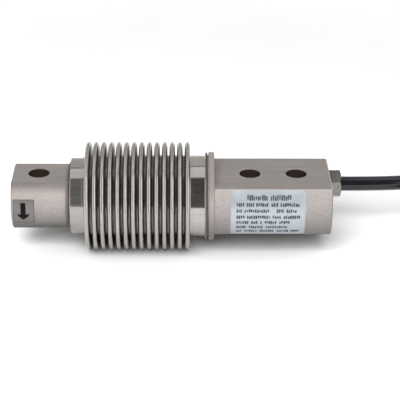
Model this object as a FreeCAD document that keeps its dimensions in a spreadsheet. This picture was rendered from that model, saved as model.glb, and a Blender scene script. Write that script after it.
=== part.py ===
import FreeCAD, Part
import math
import os
import re

import Sketcher

# Bending beam load cell, welded shut by a metal bellows, with its cable.
# Millimetres. The cell lies along X: the load end is at -X, the cable leaves at +X.
# Inside a sub-part X is counted from the load hole and Y and Z from the cell's axis.
# The placements then bring the middle of the cell over the origin, with the lowest
# bellows crests on Z = 0.

SIZES = {
    # spring element
    "load_overhang": 10.1,
    "load_to_mount_hole": 82.0,
    "mount_hole_spacing": 18.0,
    "mount_overhang": 13.1,
    "hole_diameter": 8.2,
    "hole_chamfer": 0.15,
    "flat_thickness": 19.4,
    "head_diameter": 26.0,
    "block_diameter": 34.0,
    "rim_diameter": 34.3,
    "rim_width": 2.1,
    "rim_chamfer": 0.3,
    "end_chamfer": 0.5,
    "cutter_fillet": 1.0,
    # bending beam inside the bellows
    "beam_width": 16.0,
    "beam_height": 18.0,
    "gauge_spacing": 20.0,
    "gauge_hole_diameter": 11.0,
    "beam_slot": 4.0,
    # load side collar
    "collar_start": 12.55,
    "collar_length": 5.19,
    "collar_diameter": 29.7,
    "collar_round": 0.2,
    "weld_throat": 0.7,
    # bellows
    "convolutions": 14,
    "bellows_pitch": 2.96,
    "bellows_diameter": 42.0,
    "bellows_root_diameter": 31.5,
    "bellows_wall": 0.25,
    "crest_radius": 0.86,
    "fold_gap": 0.45,
    "cuff_length": 0.6,
    # mount side collar
    "neck_length": 5.32,
    "neck_diameter": 31.6,
    "spigot_diameter": 29.0,
    "lip_diameter": 33.8,
    "lip_thickness": 0.9,
    "lip_gap": 0.6,
    "gap_floor_diameter": 32.0,
    "lip_round": 0.2,
    # gland and its seals
    "gland_offset": 11.3,
    "hex_across_flats": 10.2,
    "hex_length": 5.5,
    "gland_shank_diameter": 8.4,
    "gland_shank_length": 5.4,
    "gland_bore_diameter": 8.5,
    "washer_thickness": 0.6,
    "seal_length": 3.6,
    "o_ring_section": 0.8,
    "wire_bore_diameter": 5.0,
    # cable
    "lead_stride": 12.6,
    "lead_overlap": 2.0,
    "tail_start": 22.0,
    "tail_stride": 9.0,
    "cable_diameter": 5.8,
    "cable_clearance": 0.1,
    "sleeve_diameter": 6.5,
    "sleeve_length": 18.0,
    "stripped_length": 20.0,
    "core_diameter": 1.1,
    "core_pitch": 1.6,
    "first_climb": 3.8,
    "climb_pitch": 2.0,
    "lane_pitch": 1.8,
    "drain_diameter": 0.8,
    # put-away coil, wound in long loops
    "coil_x": 214.0,
    "coil_y": -12.0,
    "coil_straight": 64.0,
    "coil_inner_radius": 17.5,
    "coil_turns_wide": 3,
    "coil_turns_high": 5,
    "coil_tie_thickness": 0.6,
    "rebate_clearance": 0.5,
    # foil gauges, board and resistors
    "gauge_length": 8.0,
    "gauge_width": 6.0,
    "gauge_thickness": 0.15,
    "board_length": 9.0,
    "board_width": 12.0,
    "board_thickness": 0.8,
    "resistor_length": 3.2,
    "resistor_width": 1.6,
    "resistor_height": 0.6,
    "resistor_spacing": 4.0,
    "gauge_wire_diameter": 0.4,
    # labels
    "label_thickness": 0.1,
    "label_start": 74.2,
    "label_length": 28.5,
    "label_arc": 65.2,
    "label_corner": 1.2,
    "arrow_inset": 0.8,
    "arrow_length": 8.2,
    "arrow_arc": 46.0,
    "arrow_turn": 4.2,
    "slip_clearance": 0.02,
}

# Stations along the axis, as formulas of the sizes above
BELLOWS_START = "(collar_start + collar_length)"
BELLOWS_END = f"({BELLOWS_START} + convolutions * bellows_pitch)"
LIP_START = f"({BELLOWS_END} + neck_length)"
LIP_END = f"({LIP_START} + lip_thickness)"
RIM_START = f"({LIP_END} + lip_gap)"
BLOCK_START = f"({RIM_START} + rim_width)"
BLOCK_END = "(load_to_mount_hole + mount_hole_spacing + mount_overhang)"
MIDDLE = f"(({BLOCK_END} + hex_length - load_overhang) / 2)"
BEAM_MIDDLE = f"(({BELLOWS_START} + {BELLOWS_END}) / 2)"
GLAND_DEPTH = "(gland_shank_length + washer_thickness + seal_length)"
BELLOWS_BORE = "(bellows_root_diameter / 2 - bellows_wall)"
FLAT = "(flat_thickness / 2)"
BEYOND = "block_diameter"
COIL_INNER = "(coil_inner_radius - cable_diameter / 2)"
COIL_OUTER = f"({COIL_INNER} + coil_turns_wide * cable_diameter)"
COIL_STEP = f"({COIL_OUTER} - cable_diameter)"
COIL_TOP = "(coil_tie_thickness + coil_turns_high * cable_diameter)"
COIL_STEP_HEIGHT = f"({COIL_TOP} - cable_diameter)"
LEAD_LANE = "(coil_y + coil_inner_radius + (coil_turns_wide - 1) * cable_diameter)"

os.makedirs("parts", exist_ok=True)
doc = FreeCAD.newDocument("LoadCell")
sheet = doc.addObject("Spreadsheet::Sheet", "Sizes")
for row, (alias, number) in enumerate(SIZES.items(), start=1):
    sheet.set(f"A{row}", alias)
    sheet.set(f"B{row}", str(number))
    sheet.setAlias(f"B{row}", alias)
doc.recompute()

finished = []


def formula(text):
    """The formula with every size written as a reference to the sheet."""
    return re.sub(r"\b[a-z_]+\b", lambda word: f"Sizes.{word[0]}" if word[0] in SIZES else word[0], text)


def value(text):
    """The number that a formula gives with the sheet's present sizes."""
    return float(sheet.evalExpression(formula(text)))


def place(item, along="0", across="0", up="0"):
    """Bind the item's place in the part's frame to the sheet."""
    item.setExpression("Placement.Base.x", formula(f"{along} - {MIDDLE}"))
    item.setExpression("Placement.Base.y", formula(across))
    item.setExpression("Placement.Base.z", formula(f"{up} + bellows_diameter / 2"))


def new_body(name):
    body = doc.addObject("PartDesign::Body", name)
    body.Label = name
    finished.append(body)
    return body


def new_sketch(body, name, plane, offset=None):
    """An empty sketch on one of the body's own origin planes, moved out by a formula."""
    sketch = body.newObject("Sketcher::SketchObject", name)
    support = [item for item in body.Origin.OriginFeatures if item.Role == plane][0]
    sketch.AttachmentSupport = [(support, "")]
    sketch.MapMode = "FlatFace"
    if offset:
        sketch.setExpression("AttachmentOffset.Base.z", formula(offset))
    return sketch


def pin_point(sketch, edge, end, across, up):
    """Hold a sketch point at the two formulas, counted from the sketch's origin."""
    for kind, text in (("DistanceX", across), ("DistanceY", up)):
        number = sketch.addConstraint(Sketcher.Constraint(kind, -1, 1, edge, end, value(text)))
        name = f"{kind}_{number}"
        sketch.renameConstraint(number, name)
        sketch.setExpression(f"Constraints.{name}", formula(text))


def add_outline(sketch, corners):
    """A closed outline of straight lines; each corner is a pair of formulas."""
    first = sketch.GeometryCount
    points = [FreeCAD.Vector(value(across), value(up), 0) for across, up in corners]
    for start, end in zip(points, points[1:] + points[:1]):
        sketch.addGeometry(Part.LineSegment(start, end), False)
    for number, (across, up) in enumerate(corners):
        following = first + (number + 1) % len(corners)
        sketch.addConstraint(Sketcher.Constraint("Coincident", first + number, 2, following, 1))
        pin_point(sketch, first + number, 1, across, up)


def add_circle(sketch, across, up, radius):
    centre = FreeCAD.Vector(value(across), value(up), 0)
    edge = sketch.addGeometry(Part.Circle(centre, FreeCAD.Vector(0, 0, 1), value(radius)), False)
    pin_point(sketch, edge, 3, across, up)
    number = sketch.addConstraint(Sketcher.Constraint("Radius", edge, value(radius)))
    sketch.renameConstraint(number, f"Radius_{number}")
    sketch.setExpression(f"Constraints.Radius_{number}", formula(radius))


def box_corners(left, right, low, high):
    return [(left, low), (right, low), (right, high), (left, high)]


def revolve(body, sketch, name, axis="H_Axis", turn=None):
    feature = body.newObject("PartDesign::Revolution", name)
    feature.Profile = sketch
    feature.ReferenceAxis = (sketch, [axis])
    feature.Angle = 360
    if turn:
        feature.Midplane = True
        feature.setExpression("Angle", formula(turn))
    doc.recompute()
    return feature


def removed(body, feature, before):
    """A cut that points away from the solid removes nothing, so the volume is compared."""
    doc.recompute()
    if not body.Shape.Volume < before - 1e-6:
        raise ValueError(f"{feature.Name} in {body.Label} removes nothing")
    return feature


def cut_through(body, sketch, name):
    before = body.Shape.Volume
    feature = body.newObject("PartDesign::Pocket", name)
    feature.Profile = sketch
    feature.SideType = "Symmetric"
    feature.Type = "ThroughAll"
    return removed(body, feature, before)


def cut_deep(body, sketch, name, depth):
    before = body.Shape.Volume
    feature = body.newObject("PartDesign::Pocket", name)
    feature.Profile = sketch
    feature.Type = "Length"
    feature.setExpression("Length", formula(depth))
    return removed(body, feature, before)


def pick_edges(body, wanted):
    """The names of the edges of the body's last feature for which wanted(edge) holds."""
    edges = enumerate(body.Tip.Shape.Edges, start=1)
    return [f"Edge{number}" for number, edge in edges if wanted(edge)]


def dress(body, kind, name, size, wanted):
    """A chamfer or fillet on the picked edges."""
    base = body.Tip
    names = pick_edges(body, wanted)
    feature = body.newObject(f"PartDesign::{kind}", name)
    feature.Base = (base, names)
    feature.setExpression("Size" if kind == "Chamfer" else "Radius", formula(size))
    doc.recompute()
    return feature


def in_plane(edge, station):
    """The edge lies in the plane across the axis at the station."""
    at = value(station)
    return abs(edge.BoundBox.XMin - at) < 1e-4 and abs(edge.BoundBox.XMax - at) < 1e-4


def is_circle(edge, radius):
    return hasattr(edge.Curve, "Radius") and abs(edge.Curve.Radius - value(radius)) < 1e-4


def make_spring_element():
    """Load head, bending beam, rim and mounting block, turned and milled from one bar."""
    body = new_body("spring_element")
    turned = new_sketch(body, "TurnedOutline", "XZ_Plane")
    add_outline(turned, [
        ("-load_overhang", "0"),
        ("-load_overhang", "head_diameter / 2"),
        (BELLOWS_END, "head_diameter / 2"),
        (BELLOWS_END, "spigot_diameter / 2"),
        (LIP_END, "spigot_diameter / 2"),
        (LIP_END, "gap_floor_diameter / 2"),
        (RIM_START, "gap_floor_diameter / 2"),
        (RIM_START, "rim_diameter / 2"),
        (f"{BLOCK_START} - rim_chamfer", "rim_diameter / 2"),
        (BLOCK_START, "rim_diameter / 2 - rim_chamfer"),
        (BLOCK_START, "block_diameter / 2"),
        (BLOCK_END, "block_diameter / 2"),
        (BLOCK_END, "0"),
    ])
    revolve(body, turned, "Bar")

    flats = new_sketch(body, "FlatsOutline", "XZ_Plane")
    for side in ("", "-"):
        low = f"{side}{FLAT}"
        high = f"{side}{BEYOND}"
        add_outline(flats, box_corners("-load_overhang * 2", "collar_start", low, high))
        add_outline(flats, box_corners(BLOCK_START, f"{BLOCK_END} + mount_overhang", low, high))
    cut_through(body, flats, "MilledFlats")

    top = new_sketch(body, "BeamTopOutline", "XZ_Plane")
    sides = new_sketch(body, "BeamSideOutline", "XY_Plane")
    for side in ("", "-"):
        for sketch, half in ((top, "beam_height / 2"), (sides, "beam_width / 2")):
            low = f"{side}{half}"
            high = f"{side}{BEYOND}"
            add_outline(sketch, box_corners(BELLOWS_START, BELLOWS_END, low, high))
    cut_through(body, top, "BeamTopAndBottom")
    cut_through(body, sides, "BeamSides")

    webs = new_sketch(body, "GaugeHoleOutline", "XZ_Plane")
    for side in ("-", "+"):
        add_circle(webs, f"{BEAM_MIDDLE} {side} gauge_spacing / 2", "0", "gauge_hole_diameter / 2")
    cut_through(body, webs, "GaugeHoles")
    slot = new_sketch(body, "BeamSlotOutline", "XZ_Plane")
    left = f"{BEAM_MIDDLE} - gauge_spacing / 2"
    right = f"{BEAM_MIDDLE} + gauge_spacing / 2"
    add_outline(slot, box_corners(left, right, "-beam_slot / 2", "beam_slot / 2"))
    cut_through(body, slot, "BeamSlot")

    holes = new_sketch(body, "HoleOutline", "XY_Plane")
    for along in ("0", "load_to_mount_hole", "load_to_mount_hole + mount_hole_spacing"):
        add_circle(holes, along, "0", "hole_diameter / 2")
    cut_through(body, holes, "FixingHoles")

    for name, radius, depth in (
        ("GlandBore", "gland_bore_diameter / 2", GLAND_DEPTH),
        ("RingSeat", "gland_shank_diameter / 2 + o_ring_section", "o_ring_section"),
        ("WireBore", "wire_bore_diameter / 2", f"{BLOCK_END} - {BELLOWS_END}"),
    ):
        bore = new_sketch(body, f"{name}Outline", "YZ_Plane", BLOCK_END)
        add_circle(bore, "gland_offset", "0", radius)
        cut_deep(body, bore, name, depth)

    dress(body, "Chamfer", "HoleChamfer", "hole_chamfer",
          lambda edge: is_circle(edge, "hole_diameter / 2") and edge.BoundBox.ZLength < 1e-4)
    dress(body, "Fillet", "CutterFillet", "cutter_fillet",
          lambda edge: in_plane(edge, "collar_start") and edge.BoundBox.ZLength < 1e-4)
    dress(body, "Chamfer", "EndChamfers", "end_chamfer",
          lambda edge: (in_plane(edge, "-load_overhang") or in_plane(edge, BLOCK_END))
          and not is_circle(edge, "gland_shank_diameter / 2 + o_ring_section"))
    place(body)


def make_load_side_collar():
    """Polished weld ring over the load head, with the weld's throat at its left edge."""
    body = new_body("load_side_collar")
    inner = "head_diameter / 2 + slip_clearance"
    outer = "collar_diameter / 2"
    ring = new_sketch(body, "RingOutline", "XZ_Plane")
    add_outline(ring, [
        ("collar_start - weld_throat", inner),
        ("collar_start", f"{inner} + weld_throat"),
        ("collar_start", f"{outer} - collar_round"),
        ("collar_start + collar_round", outer),
        (BELLOWS_START, outer),
        (BELLOWS_START, inner),
    ])
    revolve(body, ring, "Ring")
    place(body)


def make_mount_side_collar():
    """Polished weld ring over the spigot: seat for the bellows cuff, neck and thin lip."""
    body = new_body("mount_side_collar")
    inner = "spigot_diameter / 2 + slip_clearance"
    lip = "lip_diameter / 2"
    ring = new_sketch(body, "RingOutline", "XZ_Plane")
    add_outline(ring, [
        (BELLOWS_END, inner),
        (BELLOWS_END, BELLOWS_BORE),
        (f"{BELLOWS_END} + cuff_length", BELLOWS_BORE),
        (f"{BELLOWS_END} + cuff_length", "neck_diameter / 2"),
        (LIP_START, "neck_diameter / 2"),
        (LIP_START, f"{lip} - lip_round"),
        (f"{LIP_START} + lip_round", lip),
        (f"{LIP_END} - lip_round", lip),
        (LIP_END, f"{lip} - lip_round"),
        (LIP_END, inner),
    ])
    revolve(body, ring, "Ring")
    place(body)


def make_bellows():
    """Thin corrugated tube: one wave is drawn and revolved, then repeated along the axis."""
    body = new_body("bellows")
    root = "bellows_root_diameter / 2"
    centre = "bellows_pitch / 2"
    crest_up = "bellows_diameter / 2 - crest_radius"
    inner_radius = "(crest_radius - bellows_wall)"
    wave = new_sketch(body, "WaveOutline", "XZ_Plane", None)
    corners = [
        (f"{centre} + crest_radius", crest_up),
        ("bellows_pitch - fold_gap / 2", root),
        ("bellows_pitch", root),
        ("bellows_pitch", BELLOWS_BORE),
        ("bellows_pitch - fold_gap / 2 - bellows_wall", BELLOWS_BORE),
        (f"{centre} + {inner_radius}", crest_up),
        (f"{centre} + {inner_radius} / 2", f"{crest_up} + {inner_radius} * 0.8"),
        (f"{centre} - {inner_radius} / 2", f"{crest_up} + {inner_radius} * 0.8"),
        (f"{centre} - {inner_radius}", crest_up),
        ("fold_gap / 2 + bellows_wall", BELLOWS_BORE),
        ("0", BELLOWS_BORE),
        ("0", root),
        ("fold_gap / 2", root),
        (f"{centre} - crest_radius", crest_up),
    ]
    points = [FreeCAD.Vector(value(across), value(up), 0) for across, up in corners]
    for number, (start, end) in enumerate(zip(points, points[1:])):
        wave.addGeometry(Part.LineSegment(start, end), False)
        pin_point(wave, number, 1, *corners[number])
        if number:
            wave.addConstraint(Sketcher.Constraint("Coincident", number - 1, 2, number, 1))
    last = len(corners) - 2
    pin_point(wave, last, 2, *corners[-1])
    circle = Part.Circle(FreeCAD.Vector(value(centre), value(crest_up), 0),
                         FreeCAD.Vector(0, 0, 1), value("crest_radius"))
    crest = wave.addGeometry(Part.ArcOfCircle(circle, 0, math.pi), False)
    wave.addConstraint(Sketcher.Constraint("Coincident", crest, 1, 0, 1))
    wave.addConstraint(Sketcher.Constraint("Coincident", crest, 2, last, 2))
    number = wave.addConstraint(Sketcher.Constraint("DistanceY", -1, 1, crest, 3, value(crest_up)))
    wave.renameConstraint(number, "CrestCentre")
    wave.setExpression("Constraints.CrestCentre", formula(crest_up))
    first_wave = revolve(body, wave, "Wave")

    waves = body.newObject("PartDesign::LinearPattern", "Waves")
    waves.Originals = [first_wave]
    waves.Direction = (wave, ["H_Axis"])
    waves.setExpression("Length", formula("bellows_pitch * (convolutions - 1)"))
    waves.setExpression("Occurrences", formula("convolutions"))
    body.Tip = waves
    doc.recompute()

    cuffs = new_sketch(body, "CuffOutline", "XZ_Plane")
    collar = "collar_diameter / 2 + slip_clearance"
    add_outline(cuffs, [
        ("-cuff_length", collar),
        ("-cuff_length", f"{collar} + bellows_wall"),
        ("0", f"{collar} + bellows_wall"),
        ("0", root),
        ("fold_gap / 2", root),
        ("fold_gap / 2", collar),
    ])
    end = "convolutions * bellows_pitch"
    add_outline(cuffs, [
        (end, f"{BELLOWS_BORE} + slip_clearance"),
        (end, root),
        (f"{end} + cuff_length", root),
        (f"{end} + cuff_length", f"{BELLOWS_BORE} + slip_clearance"),
    ])
    revolve(body, cuffs, "Cuffs")
    place(body, BELLOWS_START)


def make_gland():
    """Hexagon gland with a threaded shank; its own X axis is the cable's axis."""
    body = new_body("gland_body")
    flat = "hex_across_flats / 2"
    rise = f"{flat} * tan(30deg)"
    tip = f"{flat} / cos(30deg)"
    hexagon = new_sketch(body, "HexOutline", "YZ_Plane")
    add_outline(hexagon, [
        (flat, f"-{rise}"),
        (flat, rise),
        ("0", tip),
        (f"-{flat}", rise),
        (f"-{flat}", f"-{rise}"),
        ("0", f"-{tip}"),
    ])
    head = body.newObject("PartDesign::Pad", "HexHead")
    head.Profile = hexagon
    head.setExpression("Length", formula("hex_length"))
    doc.recompute()
    shank = new_sketch(body, "ShankOutline", "XZ_Plane")
    add_outline(shank, box_corners("-gland_shank_length", "hex_length / 2", "0", "gland_shank_diameter / 2"))
    revolve(body, shank, "Shank")
    before = body.Shape.Volume
    corner = new_sketch(body, "CornerOutline", "XZ_Plane")
    add_outline(corner, [
        ("hex_length", flat),
        (f"hex_length - {flat} * tan(30deg)", f"{flat} * 2"),
        ("hex_length", f"{flat} * 2"),
    ])
    bevel = body.newObject("PartDesign::Groove", "CornerBevel")
    bevel.Profile = corner
    bevel.ReferenceAxis = (corner, ["H_Axis"])
    bevel.Angle = 360
    removed(body, bevel, before)
    bore = new_sketch(body, "CableBoreOutline", "YZ_Plane")
    add_circle(bore, "0", "0", "cable_diameter / 2 + cable_clearance")
    cut_through(body, bore, "CableBore")
    place(body, BLOCK_END, "gland_offset")


def make_gland_ring(name, start, end, inner, outer):
    """A turned ring in the gland's bore, between two stations behind the block's face."""
    body = new_body(name)
    ring = new_sketch(body, "RingOutline", "XZ_Plane")
    add_outline(ring, box_corners(start, end, inner, outer))
    revolve(body, ring, "Ring")
    place(body, BLOCK_END, "gland_offset")


def make_gland_seals():
    bore = "gland_bore_diameter / 2"
    cable = "cable_diameter / 2"
    washer_end = "-gland_shank_length"
    seal_end = f"{washer_end} - washer_thickness"
    make_gland_ring("gland_washer", seal_end, washer_end, f"{cable} + cable_clearance", f"{bore} - cable_clearance")
    make_gland_ring("gland_seal", f"-{GLAND_DEPTH}", seal_end, cable, bore)

    ring = doc.addObject("Part::Torus", "gland_o_ring")
    ring.Label = "gland_o_ring"
    ring.setExpression("Radius1", formula("gland_shank_diameter / 2 + o_ring_section / 2"))
    ring.setExpression("Radius2", formula("o_ring_section / 2"))
    ring.Placement.Rotation = FreeCAD.Rotation(FreeCAD.Vector(0, 1, 0), 90)
    place(ring, f"{BLOCK_END} - o_ring_section / 2", "gland_offset")
    finished.append(ring)

    inner_end = new_body("cable_inner_end")
    jacket = new_sketch(inner_end, "JacketOutline", "XZ_Plane")
    add_outline(jacket, box_corners(f"-{GLAND_DEPTH}", "hex_length", "0", cable))
    revolve(inner_end, jacket, "Jacket")
    place(inner_end, BLOCK_END, "gland_offset")


def make_skin(name, start, length, diameter, arc, turn, corner=None):
    """A foil label bent round a cylinder, centred on the side that faces -Y."""
    body = new_body(name)
    foil = new_sketch(body, "FoilOutline", "XY_Plane")
    near = f"-{diameter} / 2"
    add_outline(foil, box_corners(start, f"{start} + {length}", f"{near} - label_thickness", near))
    revolve(body, foil, "Foil", turn=arc)
    if corner:
        thin = value("label_thickness") * 1.01
        dress(body, "Fillet", "RoundCorners", corner, lambda edge: edge.Length < thin)
    body.Placement.Rotation = FreeCAD.Rotation(FreeCAD.Vector(1, 0, 0), value(turn))
    place(body)


def make_box(name, length, width, height, along, across, up):
    """A small block; along and across give its middle, up its lower face."""
    block = doc.addObject("Part::Box", name)
    block.Label = name
    block.setExpression("Length", formula(length))
    block.setExpression("Width", formula(width))
    block.setExpression("Height", formula(height))
    place(block, f"{along} - {length} / 2", f"{across} - {width} / 2", up)
    finished.append(block)


def make_electronics():
    """Four foil gauges on the thin webs, and a terminal board with two trimming resistors."""
    top = "beam_height / 2"
    for side, sign in (("load", "-"), ("mount", "+")):
        station = f"{BEAM_MIDDLE} {sign} gauge_spacing / 2"
        gauge = ("gauge_length", "gauge_width", "gauge_thickness", station, "0")
        make_box(f"strain_gauge_upper_{side}", *gauge, top)
        make_box(f"strain_gauge_lower_{side}", *gauge, f"-{top} - gauge_thickness")
    make_box("terminal_board", "board_length", "board_width", "board_thickness", BEAM_MIDDLE, "0", top)
    for name, sign in (("zero", "-"), ("span", "+")):
        make_box(f"{name}_trim_resistor", "resistor_width", "resistor_length", "resistor_height",
                 BEAM_MIDDLE, f"0 {sign} resistor_spacing / 2", f"{top} + board_thickness")


def bend_radius(before, corner, after):
    """The largest arc that two runs allow: 0.45 of the shorter one over the tangent of half the turn."""
    first = corner - before
    second = after - corner
    half_turn = first.getAngle(second) / 2
    return 0.45 * min(first.Length, second.Length) / math.tan(half_turn)


def smooth_path(points):
    """Straight runs joined by tangent arcs, one arc at each inner point."""
    edges = []
    start = points[0]
    radii = []
    for before, corner, after in zip(points, points[1:], points[2:]):
        back = (before - corner).normalize()
        forth = (after - corner).normalize()
        half_turn = (-back).getAngle(forth) / 2
        radius = bend_radius(before, corner, after)
        radii.append(radius)
        reach = radius * math.tan(half_turn)
        inward = (back + forth).normalize()
        middle = corner + inward * (radius / math.cos(half_turn) - radius)
        edges.append(Part.LineSegment(start, corner + back * reach).toShape())
        edges.append(Part.Arc(corner + back * reach, middle, corner + forth * reach).toShape())
        start = corner + forth * reach
    edges.append(Part.LineSegment(start, points[-1]).toShape())
    return Part.Wire(edges), radii


def tube(points, diameter):
    """A round solid along the smooth path; its volume is compared with section times length."""
    path, radii = smooth_path(points)
    section = Part.Circle(points[0], points[1] - points[0], diameter / 2)
    face = Part.Face(Part.Wire([section.toShape()]))
    solid = path.makePipe(face)
    expected = math.pi * diameter**2 / 4 * path.Length
    if abs(solid.Volume - expected) > 0.01 * expected:
        raise ValueError(f"a tube holds {solid.Volume:.1f} mm3 and should hold {expected:.1f} mm3")
    return solid, path.Length, radii


def add_shape(name, shape):
    """A finished sub-part whose shape is worked out here from the sheet's sizes."""
    item = doc.addObject("Part::Feature", name)
    item.Label = name
    item.Shape = shape
    place(item)
    finished.append(item)


def add_long_loop(sketch, radius):
    """Two straights joined by half circles of this radius, round the sketch's origin."""
    half = "coil_straight / 2"
    far = value(half)
    wide = value(radius)
    first = sketch.GeometryCount
    normal = FreeCAD.Vector(0, 0, 1)
    for side in (1, -1):
        start = FreeCAD.Vector(-side * far, -side * wide, 0)
        end = FreeCAD.Vector(side * far, -side * wide, 0)
        sketch.addGeometry(Part.LineSegment(start, end), False)
        circle = Part.Circle(FreeCAD.Vector(side * far, 0, 0), normal, wide)
        turn = 0 if side == 1 else math.pi
        sketch.addGeometry(Part.ArcOfCircle(circle, turn - math.pi / 2, turn + math.pi / 2), False)
    for number in range(4):
        following = first + (number + 1) % 4
        sketch.addConstraint(Sketcher.Constraint("Coincident", first + number, 2, following, 1))
    pin_point(sketch, first, 1, f"-{half}", f"-{radius}")
    pin_point(sketch, first, 2, half, f"-{radius}")
    pin_point(sketch, first + 2, 1, half, radius)
    pin_point(sketch, first + 2, 2, f"-{half}", radius)
    for arc, across in ((first + 1, half), (first + 3, f"-{half}")):
        number = sketch.addConstraint(Sketcher.Constraint("DistanceX", -1, 1, arc, 3, value(across)))
        sketch.renameConstraint(number, f"ArcCentre_{number}")
        sketch.setExpression(f"Constraints.ArcCentre_{number}", formula(across))


def make_coil(lead):
    """The put-away cable as one bundle of long loops, with one layer less outside and a rebate for the lead."""
    coil = new_body("cable_coil")
    for name, outer, height in (("Bundle", COIL_OUTER, COIL_STEP_HEIGHT), ("Upper", COIL_STEP, COIL_TOP)):
        outline = new_sketch(coil, f"{name}Outline", "XY_Plane")
        add_long_loop(outline, outer)
        add_long_loop(outline, COIL_INNER)
        layer = coil.newObject("PartDesign::Pad", f"{name}Turns")
        layer.Profile = outline
        layer.setExpression("Length", formula(height))
        doc.recompute()
    beneath = value("cable_diameter / 2 + cable_clearance + rebate_clearance")
    along = value("coil_x")
    across = value("coil_y")
    path = [(x - along, y - across - beneath) for x, y, z in lead[3:]]
    corners = path + [(path[-1][0], value(BEYOND)), (path[0][0], value(BEYOND))]
    rebate = new_sketch(coil, "LeadRebateOutline", "XY_Plane", COIL_TOP)
    add_outline(rebate, [(f"{x:.4f}", f"{y:.4f}") for x, y in corners])
    cut_deep(coil, rebate, "LeadRebate", "2 * cable_diameter + cable_clearance")
    place(coil, "coil_x", "coil_y", "-bellows_diameter / 2")


def make_cable():
    """The cable: straight out of the gland and into its put-away coil; its end lies inside the coil."""
    diameter = value("cable_diameter")
    face = value(f"{BLOCK_END} + hex_length")
    across = value("gland_offset")
    floor = -value("bellows_diameter") / 2
    lane = value(LEAD_LANE)
    level = floor + value(f"{COIL_STEP_HEIGHT} - cable_diameter / 2")
    end = value("coil_x - coil_straight / 2 + lead_overlap")
    stride = value("lead_stride")
    sideways = lane - across
    lead = [
        (face, across, 0.0),
        (face + stride, across, 0.0),
        (face + 2 * stride, across + 0.17 * sideways, 0.0),
        (face + 3 * stride, across + 0.54 * sideways, level / 2),
        (end - stride, lane, level),
        (end, lane, level),
    ]
    solid, length, radii = tube([FreeCAD.Vector(*point) for point in lead], diameter)
    print(f"cable: {length:.1f} mm, smallest radius {min(radii):.0f} mm")
    add_shape("cable", solid)
    make_coil(lead)

    tail_start = value("coil_x + tail_start")
    stride = value("tail_stride")
    near_side = value(f"coil_y - {COIL_INNER} + cable_diameter / 2 + cable_clearance")
    low = floor + diameter / 2
    sleeve_low = floor + value("sleeve_diameter") / 2
    drift = ((0.0, low), (0.1, low), (0.35, sleeve_low), (0.7, sleeve_low))
    tail = [FreeCAD.Vector(tail_start - number * stride, near_side + aside * diameter, height)
            for number, (aside, height) in enumerate(drift)]
    solid, length, radii = tube(tail, diameter)
    print(f"cable tail: {length:.1f} mm, smallest radius {min(radii):.0f} mm")
    add_shape("cable_tail", solid)
    return tail[-1], (tail[-1] - tail[-2]).normalize()


def make_cable_end(start, direction):
    """Shrink sleeve at the cable's end, with four stripped cores and the bare drain wire."""
    end = start + direction * value("sleeve_length")
    sleeve = Part.makeCylinder(value("sleeve_diameter") / 2, value("sleeve_length"), start, direction)
    add_shape("cable_end_sleeve", sleeve)
    floor = -value("bellows_diameter") / 2
    side = direction.cross(FreeCAD.Vector(0, 0, 1)).normalize()
    up = FreeCAD.Vector(0, 0, 1)
    core = value("core_diameter")
    pitch = value("core_pitch") / 2
    stripped = value("stripped_length")
    fan = {
        "end_core_red": (-pitch, pitch, -2.2, core),
        "end_core_black": (pitch, pitch, 2.4, core),
        "end_core_green": (-pitch, -pitch, -6.4, core),
        "end_core_white": (pitch, -pitch, 6.8, core),
        "end_drain_wire": (0.0, -2 * pitch, 0.3, value("drain_diameter")),
    }
    for name, (aside, above, spread, diameter) in fan.items():
        origin = end + side * aside + up * above
        drop = up * (floor + diameter / 2 - origin.z)
        points = [
            origin,
            origin + direction * stripped * 0.18,
            origin + direction * stripped * 0.57 + side * spread / 2 + drop,
            origin + direction * stripped + side * spread + drop,
        ]
        add_shape(name, tube(points, diameter)[0])


def make_inner_cores():
    """Four cores through the wire bore, up the beam's far side one after the other, to the board."""
    across = value("gland_offset")
    entry = value(f"{BLOCK_END} - {GLAND_DEPTH}")
    mouth = value(BELLOWS_END)
    board_end = value(f"{BEAM_MIDDLE} + board_length / 2")
    top = value("beam_height / 2 + board_thickness")
    half = value("beam_width / 2")
    diameter = value("core_diameter")
    pitch = value("core_pitch") / 2
    cores = {
        "inner_core_red": (-pitch, pitch),
        "inner_core_black": (pitch, pitch),
        "inner_core_green": (-pitch, -pitch),
        "inner_core_white": (pitch, -pitch),
    }
    for number, (name, (aside, above)) in enumerate(cores.items()):
        climb = mouth - value("first_climb") - value("climb_pitch") * number
        lane = value("lane_pitch") * (number - 0.33)
        points = [
            (entry, across + aside, above),
            (climb + 3.2 * diameter, across + aside, above),
            (climb, half + 2.4 * diameter, top / 2),
            (climb - 0.55 * diameter, half + 1.7 * diameter, top + 0.45 * diameter),
            (climb - 3.6 * diameter, lane + 1.1 * diameter, top + 1.1 * diameter),
            (board_end - 1.4 * diameter, lane, top + diameter / 2 + value("slip_clearance")),
        ]
        add_shape(name, tube([FreeCAD.Vector(*point) for point in points], diameter)[0])


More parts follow.
